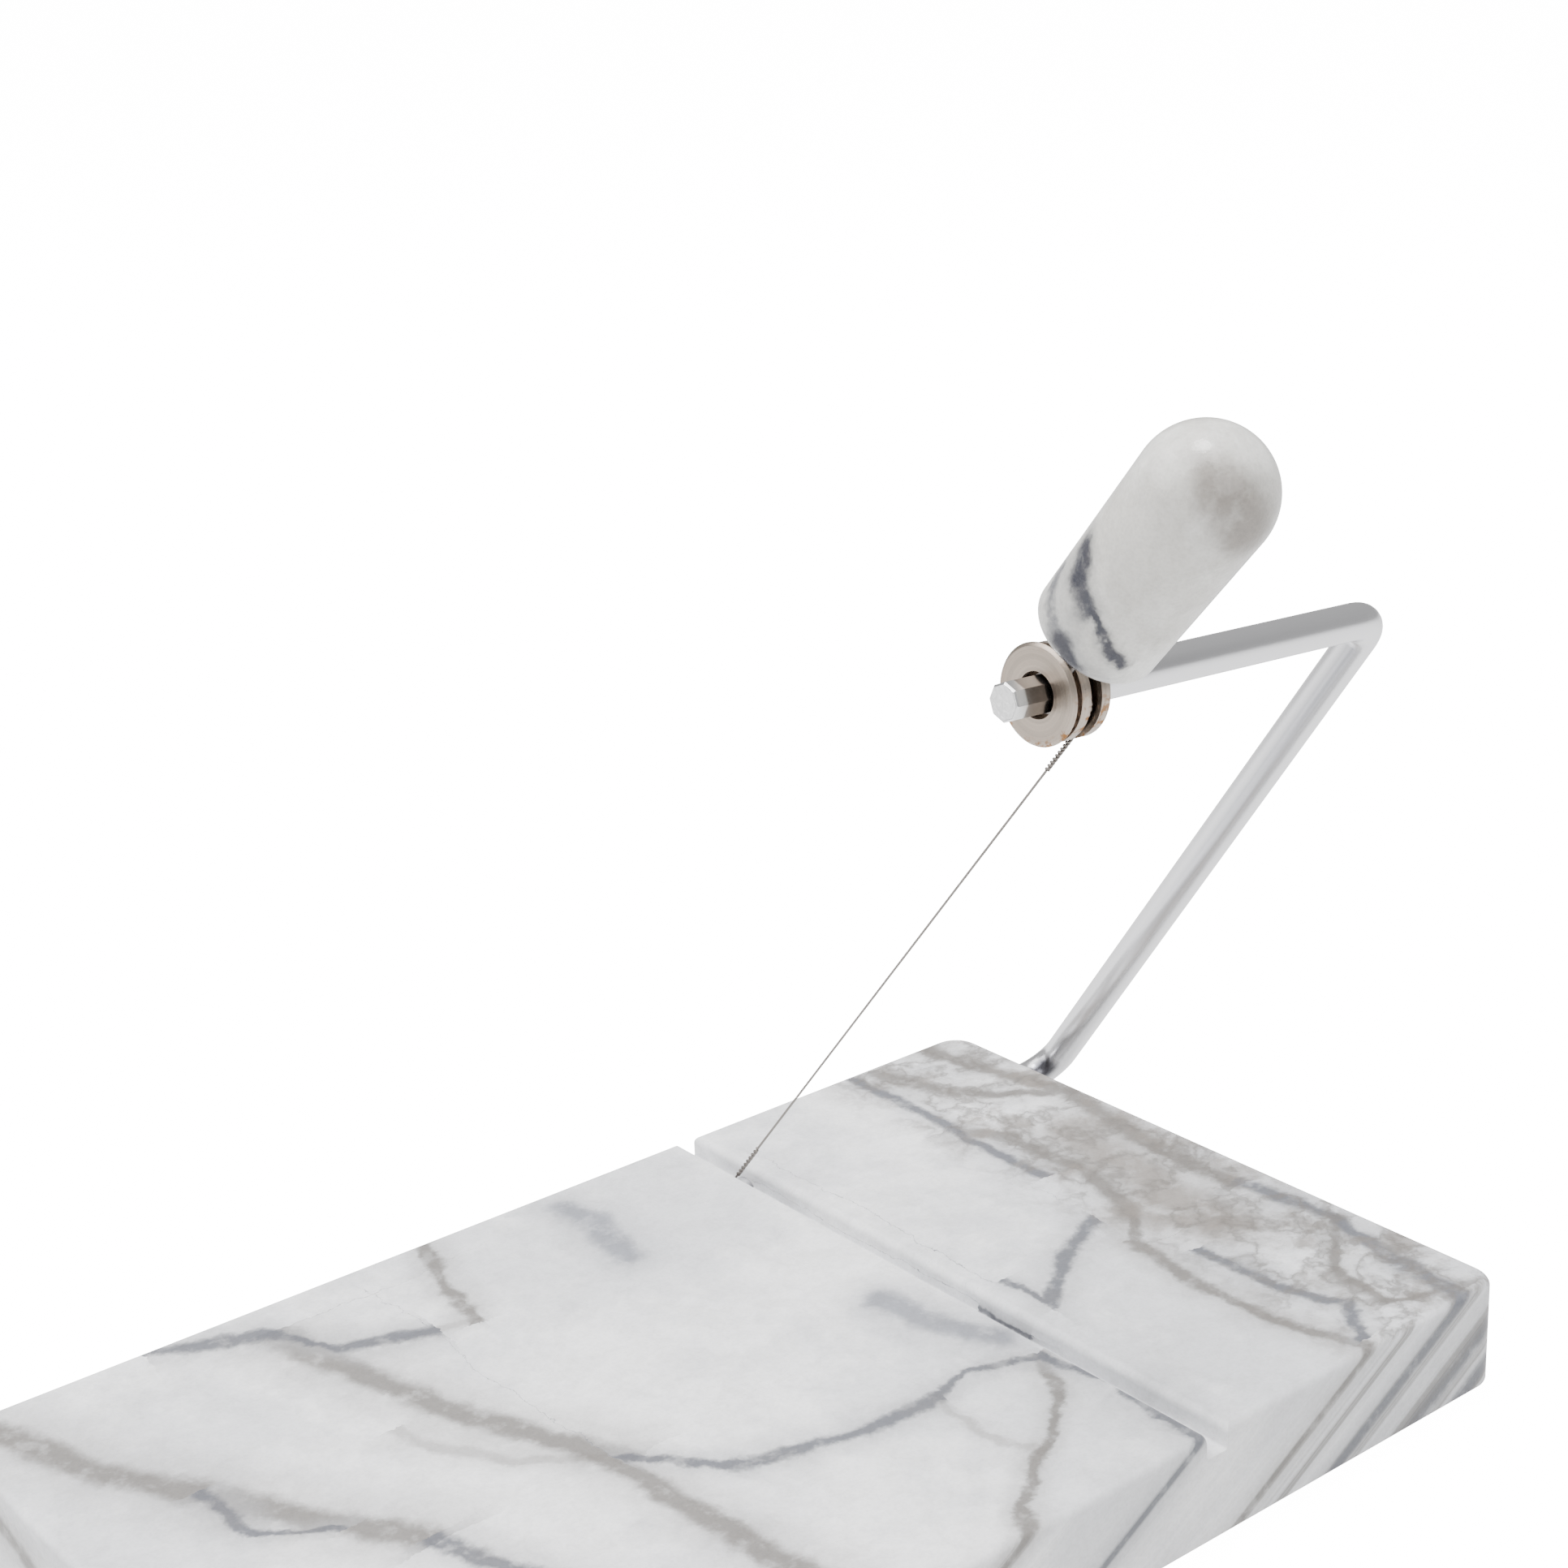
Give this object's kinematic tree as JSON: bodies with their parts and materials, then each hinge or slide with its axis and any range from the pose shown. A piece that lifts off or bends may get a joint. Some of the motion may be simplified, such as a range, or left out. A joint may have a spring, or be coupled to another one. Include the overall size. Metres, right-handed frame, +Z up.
{
  "type": "cheese_slicer",
  "caption": "Marble cheese slicer: a slotted stone board with a hinged wire bow, a turned tension wheel and a domed marble handle that locks it",
  "frame": {"origin": "centre of the board's underside, on the plane where the feet are stuck on", "axes": "+X along the board towards the end that the bow is hinged in, +Y towards the long edge beside the hinge, +Z up"},
  "size_m": [0.2153, 0.1321, 0.1664],
  "materials": {
    "marble": "honed and softly polished, grey veins",
    "foot_rubber": "soft translucent rubber",
    "bright_rod": "polished",
    "turned_nickel": "turned, concentric tool marks",
    "steel_stud": "plain",
    "epoxy": "cured, glossy",
    "wire_steel": "drawn wire"
  },
  "bodies": {
    "base": {"board": "marble", "foot_1": "foot_rubber", "foot_2": "foot_rubber", "foot_3": "foot_rubber", "foot_4": "foot_rubber"},
    "bow": {"bow_rod": "bright_rod", "wire_eye": "wire_steel", "wire_lower_strand_1": "wire_steel", "wire_lower_strand_2": "wire_steel", "wire_span": "wire_steel", "wire_upper_strand_1": "wire_steel", "wire_upper_strand_2": "wire_steel", "wire_loop": "wire_steel"},
    "wheel": {"tension_wheel": "turned_nickel"},
    "grip": {"handle": "marble", "handle_stud": "steel_stud", "handle_epoxy": "epoxy"}
  },
  "joints": [
    {"name": "bow_hinge", "type": "hinge", "parent": "base", "child": "bow", "pos_m": [0.0364, 0.0487, 0.0124], "axis": [1, 0, 0], "range_deg": [-44, 49]},
    {"name": "wheel_turn", "type": "hinge", "parent": "bow", "child": "wheel", "pos_m": [0.0364, -0.0325, 0.12235], "axis": [0.9976, 0.0283, -0.0638], "range_deg": [-130, 100]},
    {"name": "handle_screw", "type": "hinge", "parent": "wheel", "child": "grip", "pos_m": [0.03416, -0.03256, 0.1225], "axis": [0.0672, -0.637, 0.768], "range_deg": [-360, 0]}
  ]
}
